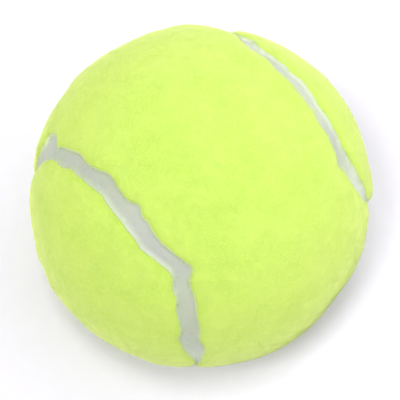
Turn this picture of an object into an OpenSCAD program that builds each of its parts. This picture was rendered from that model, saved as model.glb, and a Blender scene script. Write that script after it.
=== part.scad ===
// Tennis ball, built in layers as the real one is: two rubber half shells cemented lip to lip, a film of
// rubber cement, two identical dog-bone panels of felt and the endless rubber seam between their cut edges.
// The origin is the ball's centre. +Z runs through the middle of the upper panel, which is long along X.
// The lower panel is the same shape, turned a quarter turn and upside down, so it is long along Y.

/* [Ball] */
// Diameter over the nap of the felt
ball_d = 66.5; // [60:0.1:75]
// Thickness of the felt with its nap
felt_t = 3.2; // [2.4:0.1:4.5]
// How far the nap is pressed down at the cut edges
edge_press = 0.4; // [0.2:0.05:0.6]
// How far from the cut edge the nap starts to slope down
press_w = 3; // [2.5:0.1:4]
// Radius to which the nap rounds over at the cut edges of the felt
nap_round = 0.4; // [0.2:0.05:0.6]

/* [Seam] */
// Width of the seam between the cut edges of the felt
seam_w = 3.2; // [2:0.1:4.5]
// Depth of the seam's middle below the nap
seam_drop = 1.4; // [1.1:0.05:1.8]
// Depth of the seam's rims below the nap, where its rubber climbs the felt
rim_drop = 0.85; // [0.7:0.05:1]

/* [Seam line] */
// How far the line swings to the two sides of the core's joint
swing_share = 1.25; // [1.1:0.01:1.4]
// How far the line draws in to make the panels' waists
waist_share = 0.18; // [0.1:0.01:0.25]
// How squarely the line turns round the panels' ends
end_share = 0.1; // [0:0.01:0.12]
// Number of points along the line
seam_steps = 240; // [80:8:320]

/* [Core] */
// Wall of the hollow rubber core
core_wall = 3.4; // [2.5:0.1:5]
// Thickness of the rubber cement between the lips of the half shells
joint_t = 0.2; // [0.1:0.05:0.6]
// Width of the cement bead squeezed out inside the core
bead_w = 1.8; // [1:0.1:3]
// Height of that bead above the inside wall
bead_h = 0.5; // [0.2:0.05:0.8]
// Thickness of the rubber cement between the core and the cover
coat_t = 0.15; // [0.1:0.05:0.4]

/* [Hidden] */
$fn = 144;

ball_r = ball_d / 2;
coat_r = ball_r - felt_t;
core_r = coat_r - coat_t;
hollow_r = core_r - core_wall;
bead_r = (bead_w * bead_w / 4 + bead_h * bead_h) / (2 * bead_h);
seam_foot_r = coat_r - coat_t;
nap_r = max(0.1, min(nap_round, rim_drop - edge_press - 0.05));

// Turns at which the rounding of the nap has a line of points, from the upright cut edge to the outer face
nap_turns = [0, 30, 60, 90];
// The slope of the pressed nap has one more line of points, at a share of its width. From there it runs straight
// out through the ball's surface, which it meets at the second share, and on to the third.
press_shares = [0.4, 0.667, 1.2];
cap_r = 3 * ball_r;

// The cloth gives when it is pressed on, so the seam wanders. Each bend moves both cut edges: its place along
// the line in degrees, how far it reaches to each side of that place, and its height as a share of the
// seam's width, counted towards the upper panel.
bend_shares = [
    [10, 6, 0.15], [25, 8, -0.25], [45, 7, 0.2], [66, 19, 0.35], [90, 45, -0.3], [95, 13, -0.2],
    [131, 7, -0.2], [151, 6, 0.25], [170, 9, -0.2], [192, 8, -0.15], [214, 8, 0.25], [233, 11, 0.15],
    [253, 8, -0.15], [270, 45, -0.05], [275, 7, -0.1], [285, 6, 0.4], [298, 11, -0.2], [317, 12, 0.8],
    [341, 9, -0.2]];

// Nicks and tufts in the cut edge of each panel, given in the same way
upper_nick_shares = [
    [14, 3, 0.2], [49, 3, 0.25], [60, 5, -0.15], [71.5, 3, 0.3], [75.5, 2.5, 0.12], [81, 3, 0.1],
    [85, 2, -0.15], [104, 5, -0.35], [112, 8, -0.2], [116, 4, -0.2], [120, 5, 0.3], [152, 3, 0.35],
    [178, 3.5, -0.15], [211, 3, 0.2], [231.5, 3, 0.4], [233.4, 1.7, 0.8], [235.1, 1.7, 0.9],
    [236.8, 1.7, 0.75], [251, 8, -0.07], [258, 4, 0.15], [268, 3, 0.25], [272, 3, 0.1], [282, 3, -0.1],
    [286.5, 2.5, 0.2], [309, 4, 0.2], [334, 3, 0.2]];
lower_nick_shares = [
    [21, 3, 0.15], [29, 4, -0.25], [72, 2.5, 0.12], [74, 3, 0.1], [78, 3, 0.1], [85.5, 4, 0.16],
    [92.5, 3, -0.1], [97, 3, 0.13], [104, 6, -0.1], [116, 5, -0.35], [138, 3, -0.3], [173, 3, -0.2],
    [196, 3.5, -0.25], [215, 3, 0.2], [236, 6, 0.37], [259, 6, 0.07], [266, 5, -0.15], [271, 4, -0.1],
    [276, 4, -0.15], [298, 5, -0.08], [306, 2.5, -0.15], [313, 5, 0.25], [338, 3.5, -0.25]];

// Scallops all along the cut edges: how many go round, their height as a share of the seam's width, and
// where they start in degrees. Those of the lower panel start a quarter of a wave later.
scallop_shares = [[17, 0.03, 40], [29, 0.03, 200], [53, 0.025, 310]];
later = 90;

// Where the rubber fills the groove higher: place and reach in degrees, height over the seam's middle
seam_fills = [[86, 40, 0.5], [212, 30, 0.3]];

function unit(v) = v / norm(v);
function wrap(s) = (s + 360) % 360;

// The seam line on a sphere of radius 1: two lobes up and two down, drawn in to waists between them
function seam_dir(s) = unit([
    cos(s) - waist_share * cos(3 * s) + end_share * cos(5 * s),
    sin(s) + waist_share * sin(3 * s) + end_share * sin(5 * s),
    -swing_share * cos(2 * s)]);

// The direction across the line, along the ball's surface, towards the upper panel
function seam_across(s) = unit(cross(seam_dir(s), seam_dir(s + 1) - seam_dir(s - 1)));

// A direction from the centre that passes the line at a distance measured over the nap
function beside_line(s, away) =
    let (turn = away / ball_r * 180 / PI)
    seam_dir(s) * cos(turn) + seam_across(s) * sin(turn);

// Places along the line in the order in which each panel's edge is walked, from the tip of one of its ends
function place(upper, i) = wrap(upper ? i * 360 / seam_steps : 90 - i * 360 / seam_steps);

function total(values, i = 0) = i < len(values) ? values[i] + total(values, i + 1) : 0;
function turn_between(a, b) = min(abs(a - b), 360 - abs(a - b));

// A smooth rise from 0 at -1 to 1 in the middle and back to 0 at 1
function bump(x) = abs(x) < 1 ? (1 + cos(180 * x)) / 2 : 0;

function bent(list, s) = total([for (b = list) b[2] * bump(turn_between(s, b[0]) / b[1])]);
function scalloped(s, turn) = total([for (w = scallop_shares) w[1] * sin(w[0] * s + w[2] + turn)]);

// How far the cut edge of a panel lies from the line, as a share of the seam's width
function edge_share(upper, s) = bent(bend_shares, s) + (upper
    ? 1 / 2 + bent(upper_nick_shares, s) + scalloped(s, 0)
    : -1 / 2 + bent(lower_nick_shares, s) + scalloped(s, later));

// The same as a distance, with what it is drawn in from the seam
function edge_away(upper, s, drawn_in) = edge_share(upper, s) * seam_w + (upper ? drawn_in : -drawn_in);

// Depth of the seam's middle at a place
function drop_at(s) = max(rim_drop, seam_drop - bent(seam_fills, s));

// How deep the pressed nap lies under the ball's surface at a distance from the cut edge
function pressed(inset) = edge_press * pow(1 - inset / press_w, 2);

function edge_ring(upper, drawn_in, r) = [
    for (i = [0 : seam_steps - 1])
        let (s = place(upper, i))
        r * beside_line(s, edge_away(upper, s, drawn_in))];

// Faces of the band between two rings of points
function band(low, high, count) = [
    for (i = [0 : count - 1])
        let (j = (i + 1) % count)
        for (face = [
            [low + i, high + i, high + j],
            [low + i, high + j, low + j]])
        face];

// Faces that close a ring of points by strips from side to side, starting at its tip
function strips(first, count) = concat(
    [[first + count - 1, first + 1, first]],
    [for (i = [1 : count / 2 - 2])
        for (face = [
            [first + count - i, first + count - i - 1, first + i + 1],
            [first + count - i, first + i + 1, first + i]])
        face],
    [[first + count / 2 + 1, first + count / 2, first + count / 2 - 1]]);

// Everything on a panel's side of its cut edge: upright from the centre, rounded over as the nap is, then
// sloping up through the ball's surface
module panel_cutter(upper) {
    knee_in = press_shares[0] * press_w;
    knee_drop = pressed(knee_in);
    run_in = press_shares[2] * press_w;
    run_rise = knee_drop * (press_shares[2] - press_shares[1]) / (press_shares[1] - press_shares[0]);
    rings = concat(
        [for (turn = nap_turns)
            let (inset = nap_r * (1 - cos(turn)))
            edge_ring(upper, inset, ball_r - pressed(inset) - nap_r * (1 - sin(turn)))],
        [edge_ring(upper, knee_in, ball_r - knee_drop),
            edge_ring(upper, run_in, ball_r + run_rise),
            edge_ring(upper, run_in, cap_r)]);
    points = concat([[0, 0, 0]], [for (ring = rings) for (point = ring) point]);
    fan = [for (i = [0 : seam_steps - 1]) [0, 1 + i, 1 + (i + 1) % seam_steps]];
    walls = [
        for (k = [0 : len(rings) - 2])
            for (face = band(1 + k * seam_steps, 1 + (k + 1) * seam_steps, seam_steps))
            face];
    cap = strips(1 + (len(rings) - 1) * seam_steps, seam_steps);
    polyhedron(points = points, faces = concat(fan, walls, cap));
}

module shell(outer_r, inner_r) {
    difference() {
        sphere(r = outer_r);
        sphere(r = inner_r);
    }
}

module half_space(upper) {
    mirror([0, 0, upper ? 0 : 1])
        translate([-ball_r, -ball_r, joint_t / 2])
        cube([ball_d, ball_d, ball_d]);
}

module core_half(upper) {
    intersection() {
        shell(core_r, hollow_r);
        half_space(upper);
    }
}

module core_half_upper() {
    color("#4a4744") core_half(true);
}

module core_half_lower() {
    color("#4a4744") core_half(false);
}

// The cement fills the joint from the inside wall to the outside and swells to a bead inside
module core_joint_cement() {
    color("#b9a77c")
        rotate_extrude()
        union() {
            intersection() {
                difference() {
                    circle(r = core_r);
                    circle(r = hollow_r);
                }
                translate([0, -joint_t / 2])
                    square([core_r + joint_t, joint_t]);
            }
            intersection() {
                circle(r = hollow_r);
                translate([hollow_r - bead_h + bead_r, 0])
                    circle(r = bead_r);
            }
        }
}

module cement_coat() {
    color("#cdbf94") shell(coat_r, core_r);
}

module felt_panel_upper() {
    color("#dcfb75")
        intersection() {
            shell(ball_r, coat_r);
            panel_cutter(true);
        }
}

module felt_panel_lower() {
    color("#dcfb75")
        intersection() {
            shell(ball_r, coat_r);
            panel_cutter(false);
        }
}

// The rubber fills the groove between the upright cut edges and climbs them, so its top is hollow: its height
// over the middle is the third power of the distance from there
module seam_rubber() {
    across = [0, 0.08, 0.2, 0.5, 0.8, 0.92, 1];
    fractions = concat([0], across, [1]);
    last = len(fractions) - 1;
    points = [
        for (k = [0 : last])
            for (i = [0 : seam_steps - 1])
                let (
                    s = place(true, i),
                    from = edge_away(false, s, 0),
                    to = edge_away(true, s, 0),
                    f = fractions[k],
                    top_r = ball_r - drop_at(s) + (drop_at(s) - rim_drop) * pow(abs(2 * f - 1), 3),
                    r = k == 0 || k == last ? seam_foot_r : top_r)
                r * beside_line(s, from + (to - from) * f)];
    faces = [
        for (k = [0 : last])
            let (next = (k + 1) % (last + 1))
            for (face = band(k * seam_steps, next * seam_steps, seam_steps))
            face];
    color("#c9cec0")
        difference() {
            polyhedron(points = points, faces = faces);
            sphere(r = coat_r);
        }
}

core_half_upper();
core_half_lower();
core_joint_cement();
cement_coat();
felt_panel_upper();
felt_panel_lower();
seam_rubber();
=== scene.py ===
# Tennis ball: two dog-bone panels of napped felt, the fibres of their nap, and the endless rubber seam
# between their cut edges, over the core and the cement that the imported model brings.
# Shapes are worked out in millimetres from the ball's centre and put into their meshes in metres.
import itertools
import math

import bpy
import numpy as np
from mathutils import Matrix, Vector


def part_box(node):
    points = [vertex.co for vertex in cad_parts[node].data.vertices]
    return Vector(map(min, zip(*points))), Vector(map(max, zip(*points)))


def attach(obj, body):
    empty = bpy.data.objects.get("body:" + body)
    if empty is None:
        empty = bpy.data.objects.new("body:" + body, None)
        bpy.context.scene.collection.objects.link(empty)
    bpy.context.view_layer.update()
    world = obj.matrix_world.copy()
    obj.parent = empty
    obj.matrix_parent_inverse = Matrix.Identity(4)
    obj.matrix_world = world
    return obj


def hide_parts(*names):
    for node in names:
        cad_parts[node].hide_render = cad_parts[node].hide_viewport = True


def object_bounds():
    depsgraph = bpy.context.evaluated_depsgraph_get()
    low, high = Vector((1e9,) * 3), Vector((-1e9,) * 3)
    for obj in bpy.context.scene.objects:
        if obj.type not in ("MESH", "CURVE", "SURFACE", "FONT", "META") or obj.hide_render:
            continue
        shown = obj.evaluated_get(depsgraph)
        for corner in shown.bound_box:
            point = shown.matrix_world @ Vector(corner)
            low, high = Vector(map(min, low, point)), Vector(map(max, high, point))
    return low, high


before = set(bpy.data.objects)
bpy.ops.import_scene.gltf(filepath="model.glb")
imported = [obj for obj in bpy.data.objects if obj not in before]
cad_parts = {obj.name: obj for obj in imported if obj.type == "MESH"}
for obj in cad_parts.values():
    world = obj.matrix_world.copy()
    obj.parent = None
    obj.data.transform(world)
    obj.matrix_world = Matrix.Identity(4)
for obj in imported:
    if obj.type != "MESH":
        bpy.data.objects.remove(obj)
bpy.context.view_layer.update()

MM = 0.001
TURN = 360.0

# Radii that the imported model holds: over the nap, under the felt
ball_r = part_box("felt_panel_upper")[1].x / MM
coat_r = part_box("cement_coat")[1].z / MM

# Seam: width between the cut edges, depths of its middle and of its rims below the nap
seam_w = 3.2
seam_drop = 1.4
rim_drop = 0.6
seam_hollow = 5  # power by which the compound climbs the felt's dipped edges

# Nap: how far the cloth lies under the tips of its fibres, how far it is pressed down at the cut edges
# and how wide that slope is, and the rounding of the edge itself
nap_lie = 0.12
edge_press = 0.4
press_w = 3.0
nap_r = 0.4

# Seam line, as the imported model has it: swing, waist and squareness as shares of the ball's radius
swing_share = 1.25
waist_share = 0.18
end_share = 0.1

# Wander of the seam: place along the line in degrees, reach in degrees, share of the seam's width
bend_shares = [
    (10, 6, 0.15), (25, 8, -0.25), (45, 7, 0.2), (66, 19, 0.35), (90, 45, -0.3), (95, 13, -0.2),
    (131, 7, -0.2), (151, 6, 0.25), (170, 9, -0.2), (192, 8, -0.15), (214, 8, 0.25), (233, 11, 0.15),
    (253, 8, -0.15), (270, 45, -0.05), (275, 7, -0.1), (285, 6, 0.4), (298, 11, -0.2), (317, 12, 0.8),
    (341, 9, -0.2)]
upper_nick_shares = [
    (14, 3, 0.2), (49, 3, 0.25), (60, 5, -0.15), (71.5, 3, 0.3), (75.5, 2.5, 0.12), (81, 3, 0.1),
    (85, 2, -0.15), (104, 5, -0.35), (112, 8, -0.2), (116, 4, -0.2), (120, 5, 0.3), (152, 3, 0.35),
    (178, 3.5, -0.15), (211, 3, 0.2), (231.5, 3, 0.4), (233.4, 1.7, 0.8), (235.1, 1.7, 0.9),
    (236.8, 1.7, 0.75), (251, 8, -0.07), (258, 4, 0.15), (268, 3, 0.25), (272, 3, 0.1), (282, 3, -0.1),
    (286.5, 2.5, 0.2), (309, 4, 0.2), (334, 3, 0.2)]
lower_nick_shares = [
    (21, 3, 0.15), (29, 4, -0.25), (72, 2.5, 0.12), (74, 3, 0.1), (78, 3, 0.1), (85.5, 4, 0.16),
    (92.5, 3, -0.1), (97, 3, 0.13), (104, 6, -0.1), (116, 5, -0.35), (138, 3, -0.3), (173, 3, -0.2),
    (196, 3.5, -0.25), (215, 3, 0.2), (236, 6, 0.37), (259, 6, 0.07), (266, 5, -0.15), (271, 4, -0.1),
    (276, 4, -0.15), (298, 5, -0.08), (306, 2.5, -0.15), (313, 5, 0.25), (338, 3.5, -0.25)]
scallop_shares = [(17, 0.03, 40), (29, 0.03, 200), (53, 0.025, 310)]
later = 90  # the lower panel's scallops start this many degrees of a wave later

# Places where the nap of both panels leans over the seam and closes much of it, in the same way
nap_bridges = [(54, 6, 0.35), (119, 5, 0.4), (317, 6, 0.4)]

# Where the compound fills the groove higher, in mm over its middle
seam_fills = [(54, 9, 0.6), (86, 40, 0.5), (212, 30, 0.3), (266, 44, 0.3), (316, 7, 0.6)]

# How much further each cut edge is drawn from the seam line, in mm, because lint hides the compound's rim
lint_hides = 0.12

# Felt panels: spokes run from the cut edge to the middle line, through rings beside the edge
spokes = 840
wall_rings = 5
shoulder_rings = 7
field_rings = 92
inner_rings = 5
lobe_turn = 95.0  # degrees from the middle of the waist to where the spokes of a round end meet
edge_shade_rings = 6  # rings past the rounded edge over which the painted shade of the cut edge fades

# The felt's UV map: middle, degrees round and across the panel that fill it, and the rows of the cut edge
# and of the inner side, which are strips below
map_middle = (0.5, 0.56)
map_turns = (305, 118)
edge_strip = (0.06, 0.12)
inner_strip = (0.01, 0.05)

# How far the noise of the lower panel is moved so that it isn't the upper one's
fray_shift = ball_r
relief_shift = 3 * ball_r

# Relief of the nap: grain in mm, height in mm, seed
nap_relief = [(17.0, 0.12, 11), (7.0, 0.08, 12), (2.6, 0.04, 13), (1.1, 0.03, 14)]
# Fraying of the cut edges, in the same way
edge_fray = [(4.0, 0.10, 21), (1.5, 0.10, 22), (0.8, 0.05, 23)]
# Places where the nap stands thicker or lies flatter: azimuth, elevation and reach in degrees, height in mm
nap_lumps = [
    (79, 22, 45, 0.5), (149, 22, 9, 0.35), (170, 17, 11, -0.2), (189, 12, 8, 0.15), (199, 9, 7, -0.3),
    (252, -6, 6, 0.3), (278, -9, 40, 0.6), (263, -7, 7, 0.3), (276, -9, 6, -0.3), (307, -10, 6, 0.25),
    (315, -9, 22, 0.25), (351, -2, 22, 0.35), (10, 3, 12, -0.15), (22, 7, 7, 0.25), (30, 10, 9, 0.3),
    (49, 15, 5, 0.35), (53, 17, 7, 0.35), (41, 13, 5, -0.45), (133, 24, 9, -0.2), (224, 1, 9, -0.45),
    (160, 50, 20, -0.15), (20, -40, 30, 0.3), (120, -30, 25, -0.3), (210, -55, 30, 0.3), (300, -60, 20, -0.2),
    (240, 50, 25, 0.15)]

# Seam compound
seam_spokes = 1200
seam_rings = 36
seam_tuck = 0.7  # how far the compound runs on under the felt
tuck_fall = 0.6  # how far it falls there, in mm for each half of the seam's width
seam_relief = [(5.0, 0.10, 31), (1.8, 0.05, 32), (0.7, 0.02, 33)]
seam_map_rows = 8  # the tube is cut into this many rows on its UV map
seam_map_gap = 0.04  # clear share of a row's height below and above
# Painted light and shade on the compound: paler is painted light, greyer is painted shade, and bluer is
# painted shade that also takes out the green light the felt bounces onto it. Place and reach along the line
# in degrees, share of the other colour
seam_painted_lights = [(61, 10, 0.9), (92, 34, 0.22), (112, 10, 0.5), (231, 8, 0.3), (314, 9, 0.8)]
seam_painted_shades = [(256, 24, 0.6), (272, 5, 0.15), (285, 6, 0.45)]
seam_painted_cool_shades = [(76, 8, 0.8), (277, 18, 1.0)]
# Lint of the felt on the compound, which is also painted light over the shade under the felt's edges, most
# under the upper one's: power by which it thickens towards the edges, and its shares at the lower panel's
# edge and at the upper one's
lint_and_light_power = 6
lint_and_light_shares = (0.2, 1.0)

# Fibres of the nap, which lie tangled on the felt
fibre_pieces = 2  # pieces to a panel
fibre_seed = 100
fibres_each = 16000
fibre_w = 0.05  # width at the thickest, coarser than the real 0.03 so that it shows
fibre_len = (1.0, 2.6)
fibre_bend = 0.35  # usual sideways bend as a share of the length
fibre_arch = (0.005, 0.06)
fibre_free = 0.12  # most that a free end stands up
fibre_sink = 0.02  # how deep the ends lie in the felt
free_share = 0.25  # share of the fibres that have a free end
fringe = 1.5  # how many times as densely they lie on the rounded edge
fibre_sides = 3
fibre_flat = 0.5  # thickness as a share of the width
fibre_map_gap = 0.1  # clear margin of a fibre's cell on its UV map

# The photograph's frame: ball's centre and radius in pixels of its 400, which set the camera
photo_px = 400
ball_px = (199.6, 196.2)
ball_px_r = 171.0
camera_far = 8.0 * ball_r
camera_turn, camera_height, camera_roll = 23.83, 72.56, 27.7
sensor_mm = 36.0

# Floor's half width in metres, how far the lamps stand in mm, and the strength of the sky
floor_r = 3.0
lamp_far = 900
sky_strength = 0.1


def unit(v):
    """Each vector divided by its length."""
    return v / np.linalg.norm(v, axis=-1, keepdims=True)


def cos_d(turn):
    return np.cos(np.radians(turn))


def sin_d(turn):
    return np.sin(np.radians(turn))


def seam_dir(s):
    """Direction of the seam line at s degrees: a circle with a third and a fifth harmonic in the level plane,
    rising and falling as -cos 2s."""
    return unit(np.stack([
        cos_d(s) - waist_share * cos_d(3 * s) + end_share * cos_d(5 * s),
        sin_d(s) + waist_share * sin_d(3 * s) + end_share * sin_d(5 * s),
        -swing_share * cos_d(2 * s)], -1))


def beside_line(s, away):
    """Direction that passes the line at a distance in mm over the nap: the line's direction turned towards
    the cross product of itself and its tangent, which points to the upper panel."""
    line = seam_dir(s)
    across = unit(np.cross(line, seam_dir(s + 1) - seam_dir(s - 1)))
    turn = np.asarray(away)[..., None] / ball_r
    return line * np.cos(turn) + across * np.sin(turn)


def bent(shares, s):
    """Sum of raised cosines, each centred on its place and as wide as its reach."""
    total = np.zeros_like(s)
    for place, reach, height in shares:
        x = np.abs((s - place + TURN / 2) % TURN - TURN / 2) / reach
        total += np.where(x < 1, height * (1 + np.cos(np.pi * np.minimum(x, 1))) / 2, 0)
    return total


def slope_noise(points, grain, seed):
    """Noise of about -1 to 1. Each corner of a cubic lattice with cells of grain mm has a random slope, and a
    point blends the eight slopes round it by the step 6t^5 - 15t^4 + 10t^3."""
    rng = np.random.default_rng(seed)
    order = rng.permutation(256)
    slopes = unit(rng.normal(size=(256, 3)))
    low = np.floor(points / grain).astype(int)
    part = points / grain - low
    blend = part**3 * (part * (part * 6 - 15) + 10)
    total = np.zeros(points.shape[:-1])
    for corner in itertools.product((0, 1), repeat=3):
        x, y, z = np.moveaxis((low + corner) & 255, -1, 0)
        slope = slopes[order[(order[(order[x] + y) & 255] + z) & 255]]
        share = np.where(corner, blend, 1 - blend).prod(-1)
        total += share * (slope * (part - corner)).sum(-1)
    return 1.7 * total


def layered(points, layers):
    """Sum of noises, each with its own grain, height and seed."""
    return sum(height * slope_noise(points, grain, seed) for grain, height, seed in layers)


def lumped(dirs):
    """Sum of raised cosines of the angle from each lump's middle, in mm."""
    total = np.zeros(dirs.shape[:-1])
    for azimuth, elevation, reach, height in nap_lumps:
        level = cos_d(elevation)
        middle = np.array([level * cos_d(azimuth), level * sin_d(azimuth), sin_d(elevation)])
        x = np.degrees(np.arccos(np.clip(dirs @ middle, -1, 1))) / reach
        total += height * (1 + np.cos(np.pi * np.minimum(x, 1))) / 2
    return total


def edge_away(upper, s):
    """How far a panel's cut edge lies from the seam line, in mm towards the upper panel: half the seam's
    width, the bends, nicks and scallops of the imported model, the places where the nap leans over the seam,
    what lint hides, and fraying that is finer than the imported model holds."""
    nicks, side, turn = (upper_nick_shares, 0.5, 0) if upper else (lower_nick_shares, -0.5, later)
    share = side + bent(bend_shares, s) + bent(nicks, s)
    for waves, height, start in scallop_shares:
        share = share + height * sin_d(waves * s + start + turn)
    share = share - math.copysign(1, side) * bent(nap_bridges, s)
    where = ball_r * seam_dir(s) + (0 if upper else fray_shift)
    return share * seam_w + math.copysign(lint_hides, side) + layered(where, edge_fray)


def outwards(points, faces):
    """The faces, turned over if they enclose a negative volume, so that they point outwards."""
    a, b, c = (points[faces[:, k]] for k in range(3))
    return faces if (a * np.cross(b, c)).sum() > 0 else faces[:, ::-1]


def band(low, high):
    """Quads between two rings of vertex numbers, closed at the end."""
    return np.stack([low, np.roll(low, -1), np.roll(high, -1), high], -1)


def build(name, points, faces, uv, marks=None, normals=None):
    """A mesh object from points in mm, faces with the same number of corners, and a UV place for each
    corner. marks holds one number a point for each named attribute, and normals a direction to shade each
    point by."""
    mesh = bpy.data.meshes.new(name)
    count, sides = faces.shape
    mesh.vertices.add(len(points))
    mesh.vertices.foreach_set("co", (points * MM).astype(np.float32).ravel())
    mesh.loops.add(count * sides)
    mesh.loops.foreach_set("vertex_index", faces.astype(np.int32).ravel())
    mesh.polygons.add(count)
    mesh.polygons.foreach_set("loop_start", np.arange(0, count * sides, sides, dtype=np.int32))
    mesh.polygons.foreach_set("use_smooth", np.ones(count, bool))
    mesh.update(calc_edges=True)
    layer = mesh.uv_layers.new(name="OFBake")
    layer.uv.foreach_set("vector", uv.astype(np.float32).ravel())
    for mark, values in (marks or {}).items():
        attribute = mesh.attributes.new(mark, "FLOAT", "POINT")
        attribute.data.foreach_set("value", values.astype(np.float32).ravel())
    if normals is not None:
        mesh.normals_split_custom_set_from_vertices(normals.astype(np.float32))
    piece = bpy.data.objects.new(name, mesh)
    bpy.context.scene.collection.objects.link(piece)
    return piece


def strip_uv(rows, columns, low, high):
    """UV corners of a band of quads: its length runs over the map's width, its rows from low to high."""
    row, column = np.divmod(np.arange(rows * columns), columns)
    u = np.stack([column, column + 1, column + 1, column], -1) / columns
    v = low + (high - low) * np.stack([row, row, row + 1, row + 1], -1) / rows
    return np.stack([u, v], -1)


def middle_line(upper, turn):
    """Direction of the panel's middle line, turned by some degrees from the middle of its waist."""
    along, up, none = sin_d(turn), cos_d(turn), np.zeros_like(turn)
    return np.stack([along, none, up] if upper else [none, along, -up], -1)


def felt_rings(upper):
    """The felt's outer side as rings of points, from the foot of the cut edge to the middle line: an upright
    wall, a quarter round where the nap rounds over, then arcs from the edge to the middle line. Towards the
    edge the nap is pressed down by the square of the nearness. Each point is moved out along its radius by
    the nap's relief and lumps, and the wall sideways by fraying."""
    tip = 0.0 if upper else 90.0
    s = (tip + np.arange(spokes) * TURN / spokes) % TURN
    edge = edge_away(upper, s)
    inwards = 1 if upper else -1
    felt_r = ball_r - nap_lie
    wall = [(0.0, r) for r in np.linspace(coat_r, felt_r - nap_r, wall_rings, endpoint=False)]
    turns = np.linspace(0, 90, shoulder_rings)
    shoulder = [(nap_r * (1 - cos_d(t)), felt_r - nap_r * (1 - sin_d(t))) for t in turns]
    rings, radii, insets = [], [], []
    for inset, r in wall + shoulder:
        rings.append(beside_line(s, edge + inwards * inset))
        radii.append(np.full(spokes, r))
        insets.append(np.full(spokes, inset))
    start = rings[-1]
    goal = middle_line(upper, lobe_turn * cos_d(s - tip))
    angle = np.arccos((start * goal).sum(-1))
    for t in np.arange(1, field_rings + 1) / field_rings:
        arc = np.sin((1 - t) * angle) * start.T + np.sin(t * angle) * goal.T
        rings.append(arc.T / np.sin(angle)[:, None])
        radii.append(np.full(spokes, felt_r))
        insets.append(nap_r + t * angle * ball_r)
    dirs, radii, insets = np.array(rings), np.array(radii), np.array(insets)
    height = np.clip((radii - coat_r) / (felt_r - coat_r), 0, 1)
    relief = layered(dirs * ball_r + (0 if upper else relief_shift), nap_relief) + lumped(dirs)
    relief -= edge_press * np.clip(1 - insets / press_w, 0, 1) ** 2
    return dirs, dirs * (radii + height * relief)[..., None]


def felt_piece(name, upper):
    """A closed felt panel: its outer rings, with the last one merged from both sides on the middle line, and
    an inner side on the cement that mirrors them. The UV map lays the outer side out by longitude along the
    panel and latitude across it."""
    dirs, outer = felt_rings(upper)
    half = spokes // 2
    wall_count = wall_rings + shoulder_rings - 1
    on_middle = np.minimum(np.arange(spokes), (spokes - np.arange(spokes)) % spokes)
    picks = np.linspace(0, len(dirs) - 1, inner_rings + 1).round().astype(int)[1:]
    inner = dirs[picks] * coat_r
    points = np.concatenate([outer[:-1].reshape(-1, 3), outer[-1, :half + 1],
                             inner[:-1].reshape(-1, 3), inner[-1, :half + 1]])
    numbers = [k * spokes + np.arange(spokes) for k in range(len(outer) - 1)]
    first = len(numbers) * spokes
    numbers.append(first + on_middle)
    low = [numbers[0]]
    first += half + 1
    for k in range(inner_rings - 1):
        low.append(first + k * spokes + np.arange(spokes))
    low.append(first + (inner_rings - 1) * spokes + on_middle)
    top = np.concatenate([band(a, b) for a, b in zip(numbers, numbers[1:])])
    under = np.concatenate([band(b, a) for a, b in zip(low, low[1:])])
    flat = unit(points)
    along, across = (flat[:, 0], flat[:, 1]) if upper else (flat[:, 1], flat[:, 0])
    up = flat[:, 2] if upper else -flat[:, 2]
    spread = np.stack([
        map_middle[0] + np.arctan2(along, up) / np.radians(map_turns[0]),
        map_middle[1] + np.arcsin(np.clip(across, -1, 1)) / np.radians(map_turns[1])], -1)
    cut = wall_count * spokes
    uv = np.concatenate([strip_uv(wall_count, spokes, *edge_strip), spread[top[cut:]],
                         strip_uv(inner_rings, spokes, *inner_strip)])
    faces = outwards(points, np.concatenate([top, under]))
    if faces[0, 0] != top[0, 0]:
        uv = uv[:, ::-1]
    # rim marks the wall and the rounded edge, fading over the next rings: the felt material paints shade
    # there
    rim = np.zeros(len(points))
    rings_in = np.arange(len(outer) - 1)
    fade = np.clip(1 - (rings_in - wall_count) / edge_shade_rings, 0, 1)
    rim[:len(rings_in) * spokes] = np.repeat(fade, spokes)
    piece = build(name, points, faces, uv, {"rim": rim})
    return piece, outer


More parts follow.
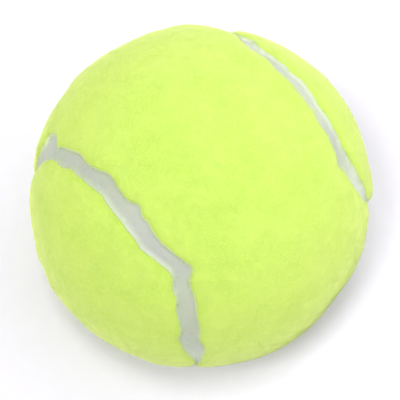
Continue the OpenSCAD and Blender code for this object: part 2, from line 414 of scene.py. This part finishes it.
def seam_piece(name):
    """The seam as a closed tube carried along the line. Between the cut edges its top is hollow: its height
    grows by a power of the distance from its middle, so it climbs the dipped edges of the felt and follows
    their lumps. It runs on a little inside the felt, and its foot is on the cement. Each point is marked with
    the lint on it, which is partly painted light, and with the light and shade painted on the compound there:
    paler, greyer and bluer."""
    s = np.arange(seam_spokes) * TURN / seam_spokes
    lower, upper = edge_away(False, s), edge_away(True, s)
    across = np.linspace(-1, 1, seam_rings)
    middle, half = (upper + lower) / 2, (upper - lower) / 2 + seam_tuck
    rings = []
    for x in across:
        rings.append(beside_line(s, middle + x * half))
    dirs = np.array(rings)
    x = np.abs(across[:, None] * half / (half - seam_tuck))
    rise = np.minimum(x, 1) ** seam_hollow
    drop = seam_drop - bent(seam_fills, s)
    climb = (drop - rim_drop) * rise - tuck_fall * np.maximum(x - 1, 0) + rise * lumped(dirs)
    relief = layered(dirs * ball_r, seam_relief)
    top = dirs * (ball_r - drop + climb + relief)[..., None]
    foot = dirs[[-1, 0]] * coat_r
    rings = np.concatenate([top, foot])
    points = rings.reshape(-1, 3)
    numbers = np.arange(len(points)).reshape(len(rings), -1)
    faces = np.concatenate([band(a, b) for a, b in zip(numbers, np.roll(numbers, -1, axis=0))])
    row, column = np.divmod(np.arange(len(faces)), seam_spokes)
    line, place = np.divmod(column * seam_map_rows, seam_spokes)
    left = place / seam_spokes
    right = left + seam_map_rows / seam_spokes
    u = np.stack([left, right, right, left], -1)
    rise_v = np.stack([row, row, row + 1, row + 1], -1) / len(rings)
    v = (line[:, None] + seam_map_gap + (1 - 2 * seam_map_gap) * rise_v) / seam_map_rows
    turned = outwards(points, faces)
    uv = np.stack([u, v], -1)
    if turned[0, 0] != faces[0, 0]:
        uv = uv[:, ::-1]
    # Lint and painted light: felt-coloured lint towards the edges, five times as much at the upper panel's
    # edge, where it lifts the shade that the felt casts on the compound
    lint = np.minimum(x, 1) ** lint_and_light_power * np.where(across < 0, *lint_and_light_shares)[:, None]
    lint = np.concatenate([lint, np.ones((2, seam_spokes))])
    # Painted light and shade along the line: pale lifts the compound where it turns away from the lamps
    # towards the rim; grey and blue darken it where it faces them, and blue also takes out the felt's green
    # bounce light
    painted_light_and_shade = {mark: np.tile(bent(shares, s), len(rings)) for mark, shares in (
        ("pale", seam_painted_lights), ("grey", seam_painted_shades), ("blue", seam_painted_cool_shades))}
    return build(name, points, turned, uv, {"lint": lint.ravel(), **painted_light_and_shade})


def fibre_piece(name, outer, seed):
    """Fibres scattered evenly over the outer rings of a panel, and more densely on its rounded edge. Each is
    a closed spindle of three sides, one of its edges up, round a bent path of four points, which lies along
    the felt, arches up a little and may lift a free end. It is shaded by the felt's own direction, as a loose
    nap is that lets the light through."""
    rng = np.random.default_rng(seed)
    grid = np.concatenate([outer, outer[:, :1]], 1)
    corner, along, across = grid[:-1, :-1], grid[1:, :-1] - grid[:-1, :-1], grid[:-1, 1:] - grid[:-1, :-1]
    normal = np.cross(across, along)
    area = np.linalg.norm(normal, axis=-1)
    area[:wall_rings] = 0
    area[wall_rings:wall_rings + shoulder_rings] *= fringe
    if (normal * corner).sum() < 0:
        normal = -normal
    spread = np.cumsum(area)
    cell = np.searchsorted(spread, rng.uniform(0, spread[-1], fibres_each))
    corner, along, across, normal = (a.reshape(-1, 3)[cell] for a in (corner, along, across, normal))
    root = corner + along * rng.uniform(size=(fibres_each, 1)) + across * rng.uniform(size=(fibres_each, 1))
    out = unit(unit(normal) + unit(root))
    east = unit(np.cross(out, rng.normal(size=(fibres_each, 3))))
    side = np.cross(out, east)
    length = rng.uniform(*fibre_len, (fibres_each, 1))
    bend = rng.normal(0, fibre_bend, (fibres_each, 1)) * length
    arch = rng.uniform(*fibre_arch, (fibres_each, 1))
    free = rng.uniform(0, fibre_free, (fibres_each, 1)) * (rng.uniform(size=(fibres_each, 1)) < free_share)
    path = []
    for t in np.linspace(0, 1, 4):
        lift = arch * 4 * t * (1 - t) + free * t * t - fibre_sink
        path.append(root + east * length * (t - 0.5) + side * bend * (t - 0.5) ** 2 * 2 + out * lift)
    path = np.stack(path, 1)
    turn = 90 + np.arange(fibre_sides) * TURN / fibre_sides
    wide = side[:, None] * cos_d(turn)[:, None]
    thick = out[:, None] * sin_d(turn)[:, None] * fibre_flat
    rim = (wide + thick) * fibre_w / 2
    points = np.concatenate([path[:, :1], path[:, 1:2] + rim, path[:, 2:3] + rim, path[:, 3:]], 1)
    a, b = 1 + np.arange(fibre_sides), 1 + (np.arange(fibre_sides) + 1) % fibre_sides
    zero, last = np.zeros_like(a), np.full_like(a, 1 + 2 * fibre_sides)
    faces = np.concatenate([np.stack(f, -1) for f in (
        (zero, b, a), (a, b, b + fibre_sides), (a, b + fibre_sides, a + fibre_sides),
        (a + fibre_sides, b + fibre_sides, last))])
    count = points.shape[1]
    every = (faces + np.arange(fibres_each)[:, None, None] * count).reshape(-1, 3)
    # Each face's corners on the map: point along the path and place across the fibre's side
    corners = np.array([[(0, 0.5), (1, 1), (1, 0)], [(1, 0), (1, 1), (2, 1)],
                        [(1, 0), (2, 1), (2, 0)], [(2, 0), (2, 1), (3, 0.5)]])
    uv = np.tile(corners[:, None], (1, fibre_sides, 1, 1))
    uv[..., 1] = (uv[..., 1] + np.arange(fibre_sides)[:, None]) / fibre_sides
    uv = uv.reshape(-1, 3, 2) / (3, 1) * (1 - 2 * fibre_map_gap) + fibre_map_gap
    columns = math.ceil(math.sqrt(fibres_each))
    row, column = np.divmod(np.arange(fibres_each), columns)
    places = (np.stack([column, row], -1)[:, None, None] + uv) / columns
    shade = np.repeat(rng.uniform(size=fibres_each), count)
    points = points.reshape(-1, 3)
    return build(name, points, outwards(points, every), places, {"shade": shade}, np.repeat(out, count, 0))


def linear(hexed):
    """An sRGB hex colour as linear red, green, blue and alpha."""
    parts = [int(hexed[k:k + 2], 16) / 255 for k in (1, 3, 5)]
    return (*[p / 12.92 if p <= 0.04045 else ((p + 0.055) / 1.055) ** 2.4 for p in parts], 1.0)


def add(tree, kind, settings=None, sockets=None):
    """Adds a node, sets its settings, and gives each named or numbered socket its value or its link."""
    node = tree.nodes.new(kind)
    for name, value in (settings or {}).items():
        setattr(node, name, value)
    for name, value in (sockets or {}).items():
        if isinstance(value, bpy.types.NodeSocket):
            tree.links.new(value, node.inputs[name])
        else:
            node.inputs[name].default_value = value
    return node


def blank(name):
    """A new material with its output, its Principled shader and the Object coordinates of the piece."""
    material = bpy.data.materials.new(name)
    material.use_nodes = True
    tree = material.node_tree
    tree.nodes.clear()
    shader = add(tree, "ShaderNodeBsdfPrincipled")
    add(tree, "ShaderNodeOutputMaterial", sockets={"Surface": shader.outputs["BSDF"]})
    return material, tree, shader, add(tree, "ShaderNodeTexCoord").outputs["Object"]


# Numbers of a colour Mix node's sockets
MIX_SHARE, MIX_A, MIX_B, MIX_OUT = 0, 6, 7, 2


def grained(tree, place, grain_mm, detail=2.0, rough=0.5):
    """Noise whose lumps are about grain_mm across."""
    return add(tree, "ShaderNodeTexNoise", sockets={
        "Vector": place, "Scale": 1 / (grain_mm * MM), "Detail": detail, "Roughness": rough}).outputs["Fac"]


def mapped(tree, value, low, high, to_low=0.0, to_high=1.0):
    """A value spread from one range to another and held inside it."""
    node = add(tree, "ShaderNodeMapRange", {"interpolation_type": "SMOOTHSTEP"}, {
        "Value": value, "From Min": low, "From Max": high, "To Min": to_low, "To Max": to_high})
    return node.outputs["Result"]


def mixed(tree, share, a, b):
    """Two colours, mixed by a share."""
    node = add(tree, "ShaderNodeMix", {"data_type": "RGBA"}, {MIX_SHARE: share, MIX_A: a, MIX_B: b})
    return node.outputs[MIX_OUT]


def felt_material():
    """Needle-punched felt of wool and nylon, dyed fluorescent yellow, its nap raised and steamed. The eye
    sees a matt, glowing yellow-green with soft patches where the nap lies another way. A deeper green along
    the cut edge is painted shade, where the felt slopes down into the seam."""
    material, tree, shader, place = blank("needled_wool_nylon_felt")
    patch = mapped(tree, grained(tree, place, 7.0, 3.0), 0.35, 0.65)
    base = mixed(tree, patch, linear("#CDE969"), linear("#D7EF76"))
    fibre = mapped(tree, grained(tree, place, 0.5, 3.0, 0.6), 0.3, 0.7)
    base = mixed(tree, fibre, base, linear("#D5EE76"))
    # Painted shade: a deeper green on the cut edge and the slope beside it, where the felt bends down into
    # the seam
    rim = add(tree, "ShaderNodeAttribute", {"attribute_name": "rim"}).outputs["Fac"]
    base = mixed(tree, mapped(tree, rim, 0.5, 1.0, 0.0, 0.4), base, linear("#C9E862"))
    bump = add(tree, "ShaderNodeBump", sockets={
        "Strength": 0.4, "Distance": 0.00015, "Height": grained(tree, place, 0.45, 4.0, 0.6)})
    for name, value in (("Base Color", base), ("Normal", bump.outputs["Normal"])):
        tree.links.new(value, shader.inputs[name])
    shader.inputs["Roughness"].default_value = 0.95
    shader.inputs["Diffuse Roughness"].default_value = 1.0
    shader.inputs["Specular IOR Level"].default_value = 0.15
    shader.inputs["Sheen Weight"].default_value = 0.7
    shader.inputs["Sheen Roughness"].default_value = 0.4
    shader.inputs["Sheen Tint"].default_value = linear("#F4FFB0")
    shader.inputs["Subsurface Weight"].default_value = 0.6
    shader.inputs["Subsurface Radius"].default_value = (1.0, 1.0, 0.5)
    shader.inputs["Subsurface Scale"].default_value = 0.0012
    return material


def fibre_material():
    """Single wool and nylon fibres, dyed with the felt. The eye sees fine pale strands, each a little lighter
    or darker than the next, and deeper in soft patches."""
    material, tree, shader, place = blank("dyed_wool_nylon_fibre")
    shade = add(tree, "ShaderNodeAttribute", {"attribute_name": "shade"}).outputs["Fac"]
    base = mixed(tree, shade, linear("#D7F571"), linear("#DFFA80"))
    patch = mapped(tree, grained(tree, place, 5.0, 3.0), 0.4, 0.65, 0.0, 0.7)
    base = mixed(tree, patch, base, linear("#D0ED72"))
    tree.links.new(base, shader.inputs["Base Color"])
    shader.inputs["Roughness"].default_value = 0.8
    shader.inputs["Diffuse Roughness"].default_value = 1.0
    shader.inputs["Specular IOR Level"].default_value = 0.2
    shader.inputs["Sheen Weight"].default_value = 0.6
    shader.inputs["Sheen Roughness"].default_value = 0.4
    shader.inputs["Sheen Tint"].default_value = linear("#F4FFB0")
    return material


def seam_material():
    """Vulcanised natural rubber compound, filled white and brushed on. The eye sees a matt, greenish
    off-white that lets a little light in, with cloudy beige and bluish patches, a few darker pits, a fine
    unevenness, and pale lint of the felt along its edges. Paler, greyer and bluer stretches along the line
    are painted light and shade, and the lint, thickest at the upper panel's edge, is partly painted light
    over the shade there."""
    material, tree, shader, place = blank("vulcanised_rubber_compound")
    beige = mapped(tree, grained(tree, place, 4.0, 2.0), 0.35, 0.65)
    base = mixed(tree, beige, linear("#C8D2BA"), linear("#CCD2BD"))
    bluish = mapped(tree, grained(tree, place, 2.2, 2.0), 0.5, 0.7, 0.0, 0.6)
    base = mixed(tree, bluish, base, linear("#C7D1CA"))
    pits = mapped(tree, grained(tree, place, 1.4, 1.0), 0.68, 0.76, 0.0, 0.7)
    base = mixed(tree, pits, base, linear("#A3AF9C"))
    # pale is painted light and grey is painted shade; blue is painted shade without the green bounce light;
    # lint is the felt's lint and, at the upper panel's edge, painted light over the shade under it
    for mark, tint in (("pale", "#E6EEDC"), ("grey", "#B9BFB2"), ("blue", "#C5C9BF"), ("lint", "#E0F4AC")):
        share = add(tree, "ShaderNodeAttribute", {"attribute_name": mark}).outputs["Fac"]
        base = mixed(tree, share, base, linear(tint))
    bump = add(tree, "ShaderNodeBump", sockets={
        "Strength": 0.4, "Distance": 0.0001, "Height": grained(tree, place, 0.6, 4.0, 0.6)})
    rough = mapped(tree, grained(tree, place, 1.5, 3.0), 0.3, 0.7, 0.55, 0.75)
    for name, value in (("Base Color", base), ("Normal", bump.outputs["Normal"]), ("Roughness", rough)):
        tree.links.new(value, shader.inputs[name])
    shader.inputs["Subsurface Weight"].default_value = 0.5
    shader.inputs["Subsurface Radius"].default_value = (1.0, 1.0, 0.9)
    shader.inputs["Subsurface Scale"].default_value = 0.0006
    return material


def core_material():
    """Black-filled natural rubber, moulded and buffed. The eye sees a matt charcoal grey with pale dust."""
    material, tree, shader, place = blank("moulded_natural_rubber")
    dust = mapped(tree, grained(tree, place, 0.8, 4.0), 0.4, 0.7)
    base = mixed(tree, dust, linear("#3B3936"), linear("#57534E"))
    bump = add(tree, "ShaderNodeBump", sockets={
        "Strength": 0.5, "Distance": 0.0001, "Height": grained(tree, place, 0.3, 3.0)})
    rough = mapped(tree, grained(tree, place, 2.0, 2.0), 0.3, 0.7, 0.7, 0.9)
    for name, value in (("Base Color", base), ("Normal", bump.outputs["Normal"]), ("Roughness", rough)):
        tree.links.new(value, shader.inputs[name])
    return material


def cement_material(name, thin, thick):
    """Rubber solution, brushed on and dried. The eye sees an amber film, darker where it has pooled."""
    material, tree, shader, place = blank(name)
    pooled = mapped(tree, grained(tree, place, 3.0, 3.0), 0.35, 0.7)
    base = mixed(tree, pooled, linear(thin), linear(thick))
    bump = add(tree, "ShaderNodeBump", sockets={
        "Strength": 0.4, "Distance": 0.0001, "Height": grained(tree, place, 1.2, 2.0)})
    for name, value in (("Base Color", base), ("Normal", bump.outputs["Normal"])):
        tree.links.new(value, shader.inputs[name])
    shader.inputs["Roughness"].default_value = 0.45
    return material


def floor_material():
    """Bleached sweep paper, faintly blue as brightened paper is, so that the ball's shadow on it stays
    grey."""
    material, tree, shader, place = blank("bleached_sweep_paper")
    base = mixed(tree, grained(tree, place, 3.0, 2.0), linear("#EFEBF7"), linear("#F3EFFB"))
    tree.links.new(base, shader.inputs["Base Color"])
    shader.inputs["Roughness"].default_value = 0.9
    return material


felt = felt_material()
fibre = fibre_material()
for upper in (True, False):
    side = "upper" if upper else "lower"
    panel, outer_rings = felt_piece(f"felt_{side}", upper)
    panel.data.materials.append(felt)
    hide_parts(f"felt_panel_{side}")
    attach(panel, "root")
    for k in range(fibre_pieces):
        piece = fibre_piece(f"nap_{side}_{k + 1}", outer_rings, fibre_seed + 10 * upper + k)
        piece.data.materials.append(fibre)
        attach(piece, "root")

seam = seam_piece("seam_compound")
seam.data.materials.append(seam_material())
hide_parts("seam_rubber")
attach(seam, "root")

core = core_material()
finishes = {
    "core_half_upper": core,
    "core_half_lower": core,
    "core_joint_cement": cement_material("cured_rubber_cement", "#C2AE7C", "#A08A55"),
    "cement_coat": cement_material("dried_rubber_solution", "#D6C99C", "#BFAE78")}
for node, material in finishes.items():
    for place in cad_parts[node].material_slots:
        place.material = material

# The ball rests on the lowest tuft of its nap
floor_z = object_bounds()[0].z
sweep = bpy.data.meshes.new("floor")
corners = [(x * floor_r, y * floor_r, floor_z) for x, y in ((-1, -1), (1, -1), (1, 1), (-1, 1))]
sweep.from_pydata(corners, [], [(0, 1, 2, 3)])
floor = bpy.data.objects.new("floor", sweep)
bpy.context.scene.collection.objects.link(floor)
sweep.materials.append(floor_material())

# Camera at the photograph's angle, rolled as the photograph is
facing = (Matrix.Rotation(math.radians(camera_turn), 3, "Z")
          @ Matrix.Rotation(math.radians(90 - camera_height), 3, "X")
          @ Matrix.Rotation(math.radians(camera_roll), 3, "Z"))
right, up, back = (Vector(facing.col[k]) for k in range(3))
tan_ball = ball_r / math.sqrt(camera_far**2 - ball_r**2)
tan_frame = tan_ball * photo_px / 2 / ball_px_r
mm_to_px = camera_far * tan_frame / (photo_px / 2)
aim = (right * (photo_px / 2 - ball_px[0]) + up * (ball_px[1] - photo_px / 2)) * mm_to_px
camera = bpy.data.objects.new("camera", bpy.data.cameras.new("camera"))
camera.data.sensor_width = sensor_mm
camera.data.lens = sensor_mm / 2 / tan_frame
camera.data.clip_start = 0.01
camera.location = (aim + back * camera_far) * MM
camera.rotation_euler = facing.to_euler()
bpy.context.scene.collection.objects.link(camera)
bpy.context.scene.camera = camera


def lamp(name, clock, off, size_mm, power):
    """A square soft box, aimed at the ball from off degrees beside the camera, towards clock degrees in the
    picture, counted from its right and up."""
    light = bpy.data.lights.new(name, "AREA")
    light.size = size_mm * MM
    light.energy = power
    box = bpy.data.objects.new(name, light)
    beside = right * cos_d(clock) + up * sin_d(clock)
    direction = back * cos_d(off) + beside * sin_d(off)
    box.location = direction * lamp_far * MM
    box.rotation_euler = direction.to_track_quat("Z", "Y").to_euler()
    bpy.context.scene.collection.objects.link(box)


# Two small soft boxes beside the camera, to the left of it and above it, keep the ball's shadow just
# outside its rim. A wide one to the upper right fills that side and models the nap and the seam's far wall.
lamp("left_soft_box", 167, 12.5, 135, 3.2)
lamp("upper_soft_box", 100, 13, 172, 3.15)
lamp("wide_soft_box", 34, 48, 1700, 9.2)

world = bpy.data.worlds.new("studio")
world.use_nodes = True
world.node_tree.nodes["Background"].inputs["Color"].default_value = linear("#FFFFFF")
world.node_tree.nodes["Background"].inputs["Strength"].default_value = sky_strength
bpy.context.scene.world = world
bpy.context.scene.view_settings.view_transform = "Standard"
